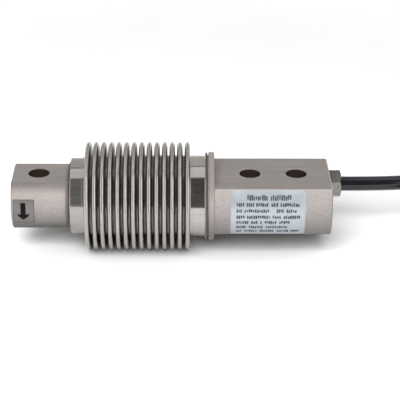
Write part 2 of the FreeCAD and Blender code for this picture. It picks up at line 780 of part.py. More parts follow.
def make_gauge_wires():
    """Fine wires from the upper gauges straight to the board, and from the lower ones round the near side."""
    thin = value("gauge_wire_diameter")
    rest = thin / 2 + value("slip_clearance")
    gauge_top = value("beam_height / 2 + gauge_thickness") + rest
    board_top = value("beam_height / 2 + board_thickness") + rest
    side = value("beam_width / 2") + 4 * thin
    middle = value(BEAM_MIDDLE)
    gauge_side = value("gauge_width / 2")
    board_side = value("board_width / 2")
    pad = value("gauge_length * 0.15")
    far = value("(gauge_spacing - gauge_length) / 2") + pad
    near = value("board_length / 2")
    wires = []
    for sign in (-1, 1):
        for start, end in ((0.57, 0.4), (0.87, 0.7)):
            wires.append([
                (middle + sign * far, -start * gauge_side, gauge_top),
                (middle + sign * (far - 1.25 * thin), -start * gauge_side, gauge_top + 1.25 * thin),
                (middle + sign * (near + 0.25 * thin), -end * board_side, board_top + 1.1 * thin),
                (middle + sign * 0.8 * near, -end * board_side, board_top),
            ])
        wires.append([
            (middle + sign * far, -0.53 * gauge_side, -gauge_top),
            (middle + sign * (far - pad), -1.83 * gauge_side, -gauge_top - 1.25 * thin),
            (middle + sign * (near - thin), -side, -gauge_top - thin),
            (middle + sign * (near - 2 * thin), -side, board_top + thin),
            (middle + sign * 0.7 * near, -0.85 * board_side, board_top),
        ])
    add_shape("gauge_lead_wires", Part.makeCompound(
        [tube([FreeCAD.Vector(*point) for point in wire], thin)[0] for wire in wires]))


make_spring_element()
make_load_side_collar()
make_mount_side_collar()
make_bellows()
make_gland()
make_gland_seals()
make_skin("rating_label", "label_start", "label_length", "block_diameter", "label_arc", "0", "label_corner")
make_skin("load_arrow_label", "(arrow_inset - load_overhang)", "arrow_length", "head_diameter",
          "arrow_arc", "arrow_turn")
make_electronics()
make_inner_cores()
make_gauge_wires()
sleeve_start, sleeve_direction = make_cable()
make_cable_end(sleeve_start, sleeve_direction)

doc.recompute()
for item in doc.Objects:
    if {"Invalid", "Error"} & set(item.State):
        raise ValueError(f"{item.Label} failed: {item.State}")
for item in finished:
    if item.Shape.isNull() or not item.Shape.isValid():
        raise ValueError(f"{item.Label} has no valid shape")
for item in finished:
    item.Shape.exportStep(f"parts/{item.Label}.step")
    print(f"{item.Label}: {len(item.Shape.Solids)} solid, {item.Shape.Volume:.1f} mm3")
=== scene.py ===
# %% [markdown]
# # A weighing load cell welded into its bellows
# The cell lies on its bellows on a white table. Its steel was modelled in CAD, so this script dresses
# that model: it adds the thin surfaces that CAD leaves plain, gives each piece its finish, and sets
# up the studio. Everything is in metres and in the CAD model's own frame, so a piece is made where
# it belongs and nothing has to be fitted.

import math

import bpy
import numpy as np
from mathutils import Matrix, Vector


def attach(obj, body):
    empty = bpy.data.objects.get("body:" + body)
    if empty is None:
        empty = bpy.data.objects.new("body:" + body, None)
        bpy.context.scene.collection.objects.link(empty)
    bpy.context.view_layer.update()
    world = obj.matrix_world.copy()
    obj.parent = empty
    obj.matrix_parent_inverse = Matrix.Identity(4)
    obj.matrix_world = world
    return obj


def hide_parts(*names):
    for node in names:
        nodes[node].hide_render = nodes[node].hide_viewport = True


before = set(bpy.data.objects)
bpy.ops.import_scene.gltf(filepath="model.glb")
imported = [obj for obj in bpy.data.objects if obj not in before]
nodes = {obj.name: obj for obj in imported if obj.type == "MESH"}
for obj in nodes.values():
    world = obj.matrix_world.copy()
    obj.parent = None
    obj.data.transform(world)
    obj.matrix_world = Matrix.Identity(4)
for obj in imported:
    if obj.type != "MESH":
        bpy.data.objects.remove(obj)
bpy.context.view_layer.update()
scene = bpy.context.scene
scene.view_settings.view_transform = "Standard"
MM = 0.001
print("pieces of the model:", len(nodes))

# %% [markdown]
# ## Stations of the cell
# A turned part is drawn from stations along its axis. The drawing counts them in millimetres from
# the load hole, with the axis at height zero. One small function turns a drawing point into the
# table's frame. The other way is to move finished objects about, but then patterns that follow the
# object's own coordinates would slide, so the place goes into the mesh.

# %% Stations in millimetres, counted from the load hole
MIDDLE = 54.25
AXIS_HEIGHT = 21.0
COLLAR_START = 12.55
BELLOWS_START = 17.74
PITCH = 2.96
WAVES = 14
MOUNT_COLLAR_LENGTH = 5.32
LIP_LENGTH = 0.9
RIM_END = 68.1
BELLOWS_END = BELLOWS_START + WAVES * PITCH
LIP_START = BELLOWS_END + MOUNT_COLLAR_LENGTH
LIP_END = LIP_START + LIP_LENGTH


def at(points):
    """Drawing points in millimetres, as an array of x, y, z, become metres in the table's frame."""
    return (np.asarray(points, float) + [-MIDDLE, 0.0, AXIS_HEIGHT]) * MM


print("the bellows ends at", round(BELLOWS_END, 2), "mm")

# %% [markdown]
# ## The camera
# The photograph was taken with a long lens from in front and above, slightly rolled. A camera is
# placed by its distance, its height angle and its turn round the cell, which is how a photographer
# would say it. Looking at a target with a constraint would do too, but a plain matrix keeps the
# small roll exact.

# %% Camera at the photograph's viewing angle
LOOK_AT = at([56.901, 0.0, 0.0])
DISTANCE = 579.246 * MM
ELEVATION = math.radians(25.869)
TURN = math.radians(-0.292)
ROLL = math.radians(0.216)
FOCAL_PIXELS = 1478.508
PHOTO_PIXELS = 400.0
OPTICAL_CENTRE = (185.3, 195.633)
SENSOR_MM = 36.0

back = Vector((
    math.sin(TURN) * math.cos(ELEVATION),
    -math.cos(TURN) * math.cos(ELEVATION),
    math.sin(ELEVATION),
))
level_right = (-back).cross(Vector((0.0, 0.0, 1.0))).normalized()
level_up = level_right.cross(-back)
right = math.cos(ROLL) * level_right + math.sin(ROLL) * level_up
up = math.cos(ROLL) * level_up - math.sin(ROLL) * level_right
place = Vector(LOOK_AT) + back * DISTANCE

lens = bpy.data.cameras.new("photo_camera")
lens.sensor_width = SENSOR_MM
lens.lens = FOCAL_PIXELS / PHOTO_PIXELS * SENSOR_MM
lens.shift_x = 0.5 - OPTICAL_CENTRE[0] / PHOTO_PIXELS
lens.shift_y = OPTICAL_CENTRE[1] / PHOTO_PIXELS - 0.5
lens.clip_start = 0.01
lens.clip_end = 50.0
camera = bpy.data.objects.new("photo_camera", lens)
camera.matrix_world = Matrix((
    (right.x, up.x, back.x, place.x),
    (right.y, up.y, back.y, place.y),
    (right.z, up.z, back.z, place.z),
    (0.0, 0.0, 0.0, 1.0),
))
scene.collection.objects.link(camera)
scene.camera = camera
print("lens", round(lens.lens, 2), "mm, shift", round(lens.shift_x, 4), round(lens.shift_y, 4))

# %% [markdown]
# ## Helpers for finishes
# Each finish is a small node tree. It could be clicked together by hand, but then every material
# would repeat the same nodes. These helpers start a material, add a node with its settings, and make
# a noise and turn it into a colour, a roughness or a height.

# %% Node helpers
NOISE_LOW = 0.3
NOISE_HIGH = 0.7


def empty_tree(owner, output_kind):
    """The owner's node tree with its output alone, and that output's surface socket."""
    owner.use_nodes = True
    tree = owner.node_tree
    tree.nodes.clear()
    return tree, tree.nodes.new("ShaderNodeOutput" + output_kind).inputs["Surface"]


def new_finish(name):
    """A node material with its Principled shader."""
    material = bpy.data.materials.new(name)
    tree, surface = empty_tree(material, "Material")
    shader = tree.nodes.new("ShaderNodeBsdfPrincipled")
    tree.links.new(shader.outputs["BSDF"], surface)
    return material, tree, shader


def node(tree, kind, inputs=None, **settings):
    """A node of this kind, with constants or sockets for its inputs, and its own settings."""
    made = tree.nodes.new("ShaderNode" + kind)
    for key, value in settings.items():
        setattr(made, key, value)
    for key, value in (inputs or {}).items():
        if isinstance(value, bpy.types.NodeSocket):
            tree.links.new(value, made.inputs[key])
        else:
            made.inputs[key].default_value = value
    return made


def object_pattern(tree, scale, detail=4.0):
    """Noise on the object's own coordinates. The scale is in cycles per metre, one for all axes or one
    for each, which stretches the noise."""
    where = node(tree, "TexCoord").outputs["Object"]
    scales = scale if isinstance(scale, tuple) else (scale, scale, scale)
    stretched = node(tree, "Mapping", {"Vector": where, "Scale": scales})
    noise = node(tree, "TexNoise", {"Vector": stretched.outputs[0], "Scale": 1.0, "Detail": detail,
                                    "Roughness": 0.55})
    return noise.outputs["Fac"]


def spread(tree, value, low, high):
    """Map a noise's middle range, NOISE_LOW to NOISE_HIGH, on to low to high."""
    return node(tree, "MapRange", {"Value": value, "From Min": NOISE_LOW, "From Max": NOISE_HIGH,
                                   "To Min": low, "To Max": high}).outputs["Result"]


def tinted(tree, value, dark, light):
    """A colour that goes from dark to light over the noise's middle range."""
    ramp = node(tree, "ValToRGB", {"Fac": value})
    ramp.color_ramp.elements[0].position = NOISE_LOW
    ramp.color_ramp.elements[0].color = (*dark, 1.0)
    ramp.color_ramp.elements[1].position = NOISE_HIGH
    ramp.color_ramp.elements[1].color = (*light, 1.0)
    return ramp.outputs["Color"]


def bumped(tree, shader, height, depth):
    """Tilt the surface by a height pattern; depth is in metres."""
    bump = node(tree, "Bump", {"Height": height, "Distance": depth, "Strength": 1.0})
    tree.links.new(bump.outputs["Normal"], shader.inputs["Normal"])


def coat(tree, shader, colour, roughness, metallic=0.0, specular=0.5):
    """Colour and roughness come from sockets; metallic and specular level are the same all over."""
    tree.links.new(colour, shader.inputs["Base Color"])
    tree.links.new(roughness, shader.inputs["Roughness"])
    shader.inputs["Metallic"].default_value = metallic
    shader.inputs["Specular IOR Level"].default_value = specular


def dress(piece, material):
    """The piece wears this finish and no other."""
    piece.data.materials.clear()
    piece.data.materials.append(material)


print("node helpers ready")

# %% [markdown]
# ## Helpers for surfaces
# Every new surface here is a grid of points: a function of two parameters, worked out for the whole
# grid at once. A turned piece is a closed outline carried round an axis. Blender's Spin or Screw
# could do the turning, but worked-out points need no later cleaning and their seams close exactly.

# %% Meshes from grids of points


def grid_faces(rows, columns, close_rows=False, close_columns=False):
    """Point numbers of each face: cell (row, column) lies between its four neighbouring points, and a
    closed direction also joins the last line of points to the first."""
    index = np.arange(rows * columns).reshape(rows, columns)
    if close_rows:
        index = np.vstack([index, index[:1]])
    if close_columns:
        index = np.hstack([index, index[:, :1]])
    corners = [index[:-1, :-1], index[1:, :-1], index[1:, 1:], index[:-1, 1:]]
    return np.stack(corners, axis=-1).reshape(-1, 4)


def mesh_of(name, points, faces):
    """A mesh from an array of points and an array of four point numbers a face."""
    mesh = bpy.data.meshes.new(name)
    mesh.from_pydata(points.reshape(-1, 3).tolist(), [], faces.reshape(-1, 4).tolist())
    mesh.update()
    return mesh


def grid_mesh(name, points, close_rows=False, close_columns=False):
    """A mesh from points[row, column]."""
    rows, columns = points.shape[:2]
    return mesh_of(name, points, grid_faces(rows, columns, close_rows, close_columns))


def add_piece(name, mesh, material, sharp=None, replaced=()):
    """An object at the origin that rides on the cell. Edges bent more than sharp degrees stay crisp."""
    mesh.shade_smooth()
    if sharp is not None:
        mesh.set_sharp_from_angle(angle=math.radians(sharp))
    piece = bpy.data.objects.new(name, mesh)
    scene.collection.objects.link(piece)
    dress(piece, material)
    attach(piece, "root")
    if replaced:
        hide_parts(*replaced)
    return piece


print("mesh helpers ready")

# %% Outlines, and carrying them round an axis
ROUND_STEPS = 5


def turned_points(outline, steps):
    """The outline's points (station, radius) carried round the axis: at angle a a point lies at
    (station, -radius cos a, radius sin a), so angle zero faces the camera's side."""
    outline = np.asarray(outline, float)
    angle = np.linspace(0.0, 2.0 * np.pi, steps, endpoint=False)
    station = np.repeat(outline[:, :1], steps, axis=1)
    radius = outline[:, 1:2]
    return at(np.stack([station, -radius * np.cos(angle), radius * np.sin(angle)], axis=-1))


def rounded_outline(corners, reaches):
    """A closed outline with rounded corners. At a corner the round starts and ends on the two sides
    at the reach given, and follows the quadratic curve (1-t)^2 a + 2t(1-t) corner + t^2 b. One point
    more, half a reach further out on each side, keeps the shading of the long faces flat."""
    corners = np.asarray(corners, float)
    reach = np.asarray(reaches, float)[:, None]
    before = np.roll(corners, 1, axis=0) - corners
    after = np.roll(corners, -1, axis=0) - corners
    before *= reach / np.linalg.norm(before, axis=1, keepdims=True)
    after *= reach / np.linalg.norm(after, axis=1, keepdims=True)
    t = np.linspace(0.0, 1.0, ROUND_STEPS)[None, :, None]
    curve = corners[:, None] + (1 - t) ** 2 * before[:, None] + t ** 2 * after[:, None]
    first = (corners + 1.5 * before)[:, None]
    last = (corners + 1.5 * after)[:, None]
    return np.concatenate([first, curve, last], axis=1).reshape(-1, 2)


print("outline helpers ready")

# %% [markdown]
# ## Black cable jacket
# The jacket is extruded plastic: black and glossy, with faint lines along it. Its pattern follows
# the curve's own UV map, so the lines run along the cable round every bend of the coil. Noise on the
# object's coordinates would lie across the cable wherever the coil turns.

# %% Cable jacket finish
jacket, tree, shader = new_finish("cable_jacket")
along_cable = node(tree, "TexCoord").outputs["UV"]
lines = node(tree, "Mapping", {"Vector": along_cable, "Scale": (6.0, 60.0, 1.0)})
streaks = node(tree, "TexNoise", {"Vector": lines.outputs[0], "Scale": 1.0, "Detail": 3.0}).outputs["Fac"]
specks = object_pattern(tree, 900.0, detail=6.0)
colour = tinted(tree, streaks, dark=(0.007, 0.007, 0.010), light=(0.015, 0.015, 0.020))
coat(tree, shader, colour, spread(tree, specks, low=0.10, high=0.14))
bumped(tree, shader, streaks, depth=0.000003)
print("finish", jacket.name)

# %% [markdown]
# ## The cable
# Such a cell has about 3 m of cable. The photograph shows its first 25 mm; the rest is put away as
# for storage, in a neat tied coil past the right edge of the view. The whole cable is one NURBS
# curve: the points of the route out of the gland, then the coil's turns, then the tail. A NURBS
# line is smooth through all of it, where single curves joined end to end would show their joints.

# %% The route out of the gland and the tail, in millimetres
CABLE_DIAMETER = 5.8
COIL_X = 214.0
COIL_Y = -12.0
TIE_THICKNESS = 0.6
floor_height = -AXIS_HEIGHT + CABLE_DIAMETER / 2
lead = np.array([
    (118.6, 11.3, 0.0),
    (131.2, 11.3, 0.0),
    (143.8, 12.3, 0.0),
    (156.4, 14.4, -0.05),
    (171.4, 17.1, -0.1),
])
tail = np.array([
    (COIL_X + 14.0, COIL_Y - 14.9, floor_height + 0.2),
    (COIL_X + 4.0, COIL_Y - 9.6, floor_height + 0.35),
    (COIL_X - 5.0, COIL_Y - 7.5, floor_height + 0.35),
])
print("points out of the gland", len(lead), "and in the tail", len(tail))

# %% The coil's long turns
COIL_STRAIGHT = 64.0
INNER_LANE = 17.5
ARC_STEPS = 10
STRAIGHT_STEPS = 4


def long_turns(lanes, levels):
    """Long loops seen from above: a far straight, a half circle, a near straight, a half circle. Each
    point is its half circle's centre plus the lane's radius times (cos a, sin a). The level changes
    round the right half circle and the lane round the left one, both by the ease 3t^2 - 2t^3. A
    quadratic spline passes at 0.75 of a point plus 0.125 of each neighbour, so the points of a half
    circle lie further out by 1 / (0.75 + 0.25 cos(one step)) and the cable itself runs in its lane."""
    ends = COIL_STRAIGHT / 2
    straight = (np.arange(STRAIGHT_STEPS) * 2 + 1 - STRAIGHT_STEPS) / STRAIGHT_STEPS * ends
    none = np.zeros(STRAIGHT_STEPS)
    bend = (np.arange(ARC_STEPS) + 0.5) / ARC_STEPS
    ease = bend ** 2 * (3.0 - 2.0 * bend)
    centre = np.concatenate([straight, np.full(ARC_STEPS, ends), -straight, np.full(ARC_STEPS, -ends)])
    angle = np.radians(np.concatenate([
        np.full(STRAIGHT_STEPS, 90.0),
        90.0 - 180.0 * bend,
        np.full(STRAIGHT_STEPS, -90.0),
        -90.0 - 180.0 * bend,
    ]))
    fall = np.concatenate([none, ease, np.ones(STRAIGHT_STEPS + ARC_STEPS)])
    shift = np.concatenate([none, np.zeros(ARC_STEPS), none, ease])
    on_arc = np.concatenate([none, np.ones(ARC_STEPS), none, np.ones(ARC_STEPS)])
    further = 1.0 / (0.75 + 0.25 * math.cos(math.pi / ARC_STEPS)) - 1.0
    lane = lanes[:-1, None] + (lanes[1:] - lanes[:-1])[:, None] * shift
    level = levels[:-1, None] + (levels[1:] - levels[:-1])[:, None] * fall
    radius = lane * (1.0 + on_arc * further)
    x = COIL_X + centre + radius * np.cos(angle)
    y = COIL_Y + radius * np.sin(angle)
    return np.stack([x, y, level], axis=-1).reshape(-1, 3)


lane_numbers = np.array([2, 2, 2, 1, 1, 1, 1, 0, 0, 0, 0, 0])
level_numbers = np.array([4, 3, 2, 1, 2, 3, 4, 5, 4, 3, 2, 1])
lane_radii = INNER_LANE + CABLE_DIAMETER * lane_numbers
level_heights = floor_height + TIE_THICKNESS + CABLE_DIAMETER * (level_numbers - 1.0)
turns = long_turns(lane_radii, level_heights)
# The last turn stops at the first point of its near straight, where the tail takes over
left_out = STRAIGHT_STEPS - 1 + ARC_STEPS
turns = turns[:-left_out]
route = np.concatenate([lead, turns, tail])
print("route points", len(route))

# %% One smooth curve for the cable
line = bpy.data.curves.new("cable", "CURVE")
line.dimensions = "3D"
line.resolution_u = 6
line.bevel_depth = CABLE_DIAMETER / 2 * MM
line.bevel_resolution = 4
line.use_fill_caps = True
spline = line.splines.new("NURBS")
spline.points.add(len(route) - 1)
spline.points.foreach_set("co", np.hstack([at(route), np.ones((len(route), 1))]).ravel())
spline.order_u = 3
spline.use_endpoint_u = True
line.materials.append(jacket)
cable = bpy.data.objects.new("cable_line", line)
scene.collection.objects.link(cable)
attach(cable, "root")
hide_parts("cable", "cable_coil", "cable_tail")

# %% [markdown]
# ## Steel finishes
# The cell is stainless steel with three surfaces. The head and the block are ground and pickled:
# warm and nearly matt, with a very fine grain, and darker on their milled flats. The two weld rings
# are turned and polished, so they mirror the studio in hard-edged bands. The bellows was drawn from
# thin sheet and is satin. Brown tones lie at the welds. Some tones are painted shade: the round
# just below the flats, the rim's top, the bores, and the load-side ring and cuff. A photographed metal
# texture would do for one view, but a noise worked out on the object's own coordinates stays sharp
# from every side, and masks made from the same coordinates put each tone where the shape changes.

# %% Masks from a place on the cell


def cell_place(tree):
    """The object's coordinates in millimetres, counted as the stations are, with the axis at zero."""
    where = node(tree, "TexCoord").outputs["Object"]
    scaled = node(tree, "Mapping", {"Vector": where, "Scale": (1000.0, 1000.0, 1000.0),
                                    "Location": (MIDDLE, 0.0, -AXIS_HEIGHT)})
    return node(tree, "SeparateXYZ", {0: scaled.outputs[0]}).outputs


def maths(tree, operation, first, second=0.0):
    """One step of arithmetic on a value."""
    return node(tree, "Math", {0: first, 1: second}, operation=operation).outputs[0]


def ramped(tree, value, start, end):
    """0 at the start and 1 at the end, smooth between and level beyond."""
    return node(tree, "MapRange", {"Value": value, "From Min": start, "From Max": end},
                interpolation_type="SMOOTHSTEP").outputs["Result"]


def weighed(tree, first, second, share):
    """first (1 - share) + second share, of two noises."""
    kept = maths(tree, "MULTIPLY", first, 1.0 - share)
    return maths(tree, "ADD", kept, maths(tree, "MULTIPLY", second, share))


def from_axis(tree, sideways, across):
    """The distance sqrt(sideways^2 + across^2) from an axis."""
    squares = maths(tree, "MULTIPLY", sideways, sideways), maths(tree, "MULTIPLY", across, across)
    return maths(tree, "SQRT", maths(tree, "ADD", *squares))


def blended(tree, share, first, second):
    """A colour that goes from the first to the second as the share goes from 0 to 1."""
    mixed = node(tree, "MixRGB", {"Fac": share})
    for socket, colour in (("Color1", first), ("Color2", second)):
        if isinstance(colour, bpy.types.NodeSocket):
            tree.links.new(colour, mixed.inputs[socket])
        else:
            mixed.inputs[socket].default_value = (*colour, 1.0)
    return mixed.outputs["Color"]


print("mask helpers ready")

# %% Ground steel: grain and the two tones
ground, tree, shader = new_finish("ground_steel")
along, across, above = cell_place(tree)
grain = object_pattern(tree, (600.0, 1100.0, 1100.0), detail=5.0)
clouds = object_pattern(tree, 90.0, detail=3.0)
cutter_lines = object_pattern(tree, (35.0, 900.0, 35.0))
blotches = weighed(tree, grain, clouds, 0.35)
streaked = weighed(tree, cutter_lines, clouds, 0.3)
ground_colour = tinted(tree, blotches, dark=(0.45, 0.407, 0.385), light=(0.585, 0.538, 0.515))
milled_colour = tinted(tree, streaked, dark=(0.212, 0.191, 0.183), light=(0.306, 0.278, 0.265))
roughness = spread(tree, grain, low=0.40, high=0.52)
bumped(tree, shader, grain, depth=0.00001)
print("finish", ground.name)

# %% Ground steel: the milled flats, with painted shade below their edges and on the rim's top
FLAT_HEIGHT = 9.7
FLAT_EDGE = FLAT_HEIGHT - 0.04
# Painted shade of a rolled edge: below a flat's edge the round darkens over these widths in mm
HEAD_EDGE_SHADE_WIDTH = 4.2
BLOCK_EDGE_SHADE_WIDTH = 0.1
EDGE_SHADE_COLOUR = (0.17, 0.152, 0.143)
EDGE_SHADE_SHARE = 0.5
RIM_SHADE_LOW = 3.0
RIM_SHADE_HIGH = 13.0
RIM_SHADE_SHARE = 0.8
edge_shade_width = node(tree, "MapRange", {"Value": along, "From Min": COLLAR_START, "From Max": BELLOWS_START,
                                      "To Min": HEAD_EDGE_SHADE_WIDTH, "To Max": BLOCK_EDGE_SHADE_WIDTH}).outputs["Result"]
below_flat = maths(tree, "SUBTRACT", FLAT_EDGE, maths(tree, "ABSOLUTE", above))
flat_or_edge_shade = ramped(tree, maths(tree, "DIVIDE", below_flat, edge_shade_width), 1.0, 0.0)
before_rim_end = ramped(tree, along, RIM_END + 0.1, RIM_END + 0.05)
on_rim = maths(tree, "MULTIPLY", before_rim_end, ramped(tree, along, LIP_START, LIP_END))
# On the rim the milled tone comes in with height, so its top is darker: painted shade
rim_shade = maths(tree, "MULTIPLY", ramped(tree, above, RIM_SHADE_LOW, RIM_SHADE_HIGH), RIM_SHADE_SHARE)
milled_or_painted_shade = node(tree, "Mix", {0: on_rim, 2: flat_or_edge_shade, 3: rim_shade}).outputs[0]
# Just below the edge the colour goes halfway to a darker one: painted shade
painted_edge_shade = maths(tree, "MULTIPLY", ramped(tree, below_flat, 0.0, 0.05), EDGE_SHADE_SHARE)
flat_and_edge_shade_colour = blended(tree, painted_edge_shade, milled_colour, EDGE_SHADE_COLOUR)
colour = blended(tree, milled_or_painted_shade, ground_colour, flat_and_edge_shade_colour)
print("flats above", FLAT_HEIGHT, "mm")

# %% Ground steel: painted shade in the holes and the tone of the weld
HOLE_RADIUS = 4.1
HOLES = (0.0, 82.0, 100.0)
HOLE_SHADE = (0.042, 0.031, 0.025)
WELD_BROWN = (0.17, 0.14, 0.12)
WELD_PLACE = COLLAR_START - 0.9
WELD_SHARE = 0.85
nearest = None
for station in HOLES:
    distance = from_axis(tree, maths(tree, "SUBTRACT", along, station), across)
    nearest = distance if nearest is None else maths(tree, "MINIMUM", nearest, distance)
# Inside the bores the colour goes dark brown: painted shade in the recesses
in_bore = ramped(tree, nearest, HOLE_RADIUS + 0.1, HOLE_RADIUS + 0.04)
under_flat = ramped(tree, maths(tree, "ABSOLUTE", above), FLAT_HEIGHT - 0.1, FLAT_HEIGHT - 0.3)
colour = blended(tree, maths(tree, "MULTIPLY", in_bore, under_flat), colour, HOLE_SHADE)
to_weld = maths(tree, "ABSOLUTE", maths(tree, "SUBTRACT", along, WELD_PLACE))
weld_tone = maths(tree, "MULTIPLY", ramped(tree, to_weld, 1.3, 0.3), WELD_SHARE)
colour = blended(tree, weld_tone, colour, WELD_BROWN)
coat(tree, shader, colour, roughness, metallic=0.06, specular=0.3)
dress(nodes["spring_element"], ground)
print("holes at", HOLES, "mm")

# %% Polished steel of the two weld rings
RING_BROWN = (0.115, 0.094, 0.082)
BROWN_ROUGHNESS = 0.35
polished, tree, shader = new_finish("turned_steel")
along = cell_place(tree)["X"]
tool_marks = object_pattern(tree, (9000.0, 40.0, 40.0), detail=3.0)
smears = object_pattern(tree, (150.0, 700.0, 700.0), detail=3.0)
# The load-side ring is a darker copy of the same polished steel: painted shade
load_ring_shaded_tone = tinted(tree, smears, dark=(0.33, 0.316, 0.302), light=(0.385, 0.371, 0.357))
mount_ring_tone = tinted(tree, smears, dark=(0.40, 0.382, 0.364), light=(0.465, 0.447, 0.429))
ring_tone_with_shade = blended(tree, ramped(tree, along, BELLOWS_START, BELLOWS_END), load_ring_shaded_tone, mount_ring_tone)
on_chamfer = ramped(tree, along, COLLAR_START + 0.06, COLLAR_START - 0.02)
on_lip = ramped(tree, along, LIP_START + 0.12, LIP_START + 0.3)
is_brown = maths(tree, "MAXIMUM", on_chamfer, on_lip)
colour = blended(tree, is_brown, ring_tone_with_shade, RING_BROWN)
duller = maths(tree, "MULTIPLY", is_brown, BROWN_ROUGHNESS)
roughness = maths(tree, "ADD", spread(tree, smears, low=0.09, high=0.16), duller)
coat(tree, shader, colour, roughness, metallic=1.0)
bumped(tree, shader, tool_marks, depth=0.0000012)
print("finish", polished.name)

# %% Satin steel of the bellows
WAVE_ROUGHNESS = 0.12
satin, tree, shader = new_finish("bellows_steel")
along = cell_place(tree)["X"]
rolling = object_pattern(tree, (700.0, 260.0, 260.0))
after_left_cuff = ramped(tree, along, BELLOWS_START + 0.35, BELLOWS_START + 0.6)
before_right_cuff = ramped(tree, along, BELLOWS_END - 0.35, BELLOWS_END - 0.6)
on_waves = maths(tree, "MULTIPLY", after_left_cuff, before_right_cuff)
near_mount = ramped(tree, along, BELLOWS_START, BELLOWS_END)
# The cuff by the load ring is a darker copy of the same sheet, as on the rings: painted shade
cuff_tone_with_shade = blended(tree, near_mount, (0.357, 0.343, 0.33), (0.432, 0.414, 0.396))
wave_colour = tinted(tree, rolling, dark=(0.365, 0.348, 0.331), light=(0.43, 0.411, 0.393))
colour = blended(tree, on_waves, cuff_tone_with_shade, wave_colour)
duller = maths(tree, "MULTIPLY", on_waves, WAVE_ROUGHNESS)
roughness = maths(tree, "ADD", spread(tree, rolling, low=0.11, high=0.15), duller)
coat(tree, shader, colour, roughness, metallic=1.0)
bumped(tree, shader, rolling, depth=0.0000008)
print("finish", satin.name)

# %% [markdown]
# ## The bellows
# Fourteen waves of thin sheet close the cell off from damp and dirt. The CAD model draws a wave with
# straight flanks. On the real one the flanks swell towards the crest like a long drop and meet in a
# tight fold at the root, so the wave is drawn again here as one smooth line and carried round the
# axis. A subdivision surface over the CAD shape would round the crests too, but not swell the flanks.

# %% Shape of one wave, in millimetres
CREST_RADIUS = 21.0
WALL = 0.25
FLANK_DEPTH = 4.95
NOSE_HALF_WIDTH = 0.98
NOSE_DEPTH = 0.55
SWELLING = 0.03
CREST_STEPS = 17
ROOT_STEPS = 3


def half_width(depth):
    """Half the outer width of a wave at a depth below its crest. The round nose is
    NOSE_HALF_WIDTH sqrt(1 - e^(-depth / NOSE_DEPTH)), and SWELLING depth widens it to the root."""
    return NOSE_HALF_WIDTH * np.sqrt(1.0 - np.exp(-depth / NOSE_DEPTH)) + SWELLING * depth


def wave_line():
    """One wave from its left root to its right root, as (station, radius). Along the crest the depth
    is FLANK_DEPTH t^2 with t from -1 to 1; the root is a half circle as wide as the gap."""
    t = np.linspace(-1.0, 1.0, CREST_STEPS)
    depth = FLANK_DEPTH * t ** 2
    crest = np.stack([np.sign(t) * half_width(depth), CREST_RADIUS - depth], axis=-1)
    gap = PITCH / 2 - half_width(FLANK_DEPTH)
    turn = np.linspace(0.0, np.pi, ROOT_STEPS + 2)[1:-1]
    root_radius = CREST_RADIUS - FLANK_DEPTH - gap * np.sin(turn)
    root = np.stack([PITCH / 2 - gap * np.cos(turn), root_radius], axis=-1)
    return np.concatenate([crest, root])


def offset_inward(line, wall):
    """The line moved inward by the wall along its normals, its directions turned by a right angle."""
    direction = np.gradient(line, axis=0)
    direction /= np.linalg.norm(direction, axis=1, keepdims=True)
    return line + wall * np.stack([direction[:, 1], -direction[:, 0]], axis=-1)


print("gap between two waves", round(PITCH - 2 * half_width(FLANK_DEPTH), 3), "mm")

# %% Fourteen waves in a row
wave_middles = BELLOWS_START + PITCH * (np.arange(WAVES) + 0.5)
places = np.stack([wave_middles, np.zeros(WAVES)], axis=-1)
outer = (wave_line()[None] + places[:, None]).reshape(-1, 2)
outer = outer[:-ROOT_STEPS]
left_end = wave_middles[0] - NOSE_HALF_WIDTH
right_end = wave_middles[-1] + NOSE_HALF_WIDTH
outer[:, 0] = np.clip(outer[:, 0], left_end, right_end)
inner = offset_inward(outer, WALL)[::-1]
print("points along the waves", len(outer))

# %% Cuffs at both ends, and the closed skin
CUFF = 0.6
AROUND = 128
left_flank = (left_end, 0.0)
right_flank = (right_end, 0.0)
left_edge = np.array([(-CUFF, 15.06), (-CUFF + 0.03, 15.1), (-CUFF + 0.07, 15.12), (-CUFF + 0.1, 15.12)])
left_rise = np.array([(-0.34, 15.12), (-0.31, 15.12), (-0.16, 15.15), (-0.05, 15.28), (-0.01, 15.6)])
right_fall = np.array([(0.01, 15.95), (0.04, 15.84), (0.11, 15.77), (0.18, 15.75), (0.21, 15.75)])
right_edge = np.array([(CUFF - 0.04, 15.75), (CUFF - 0.02, 15.75), (CUFF, 15.73)])
right_lining = np.array([(0.26, 15.52), (0.02, 15.58), (-0.18, 15.74)])
left_lining = np.array([(0.22, 15.4), (0.1, 15.0), (-0.1, 14.87)])
closed = np.concatenate([
    left_edge + (BELLOWS_START, 0.0),
    left_rise + left_flank,
    outer,
    right_fall + right_flank,
    right_edge + (BELLOWS_END, 0.0),
    [(BELLOWS_END + CUFF, 15.52)],
    right_lining + right_flank,
    inner,
    left_lining + left_flank,
    [(BELLOWS_START - CUFF, 14.87)],
])
skin = grid_mesh("bellows_skin", turned_points(closed, AROUND), close_rows=True, close_columns=True)
add_piece("bellows_skin", skin, satin, replaced=["bellows"])
print("bellows faces", len(skin.polygons))

# %% [markdown]
# ## The weld rings
# Each ring is a plain turned sleeve with a tiny round on every edge, because nothing real has a
# perfectly sharp edge and the round is what catches the light. A Bevel modifier would give the
# rounds as well, but on a turned piece it is simpler to draw them into the outline.

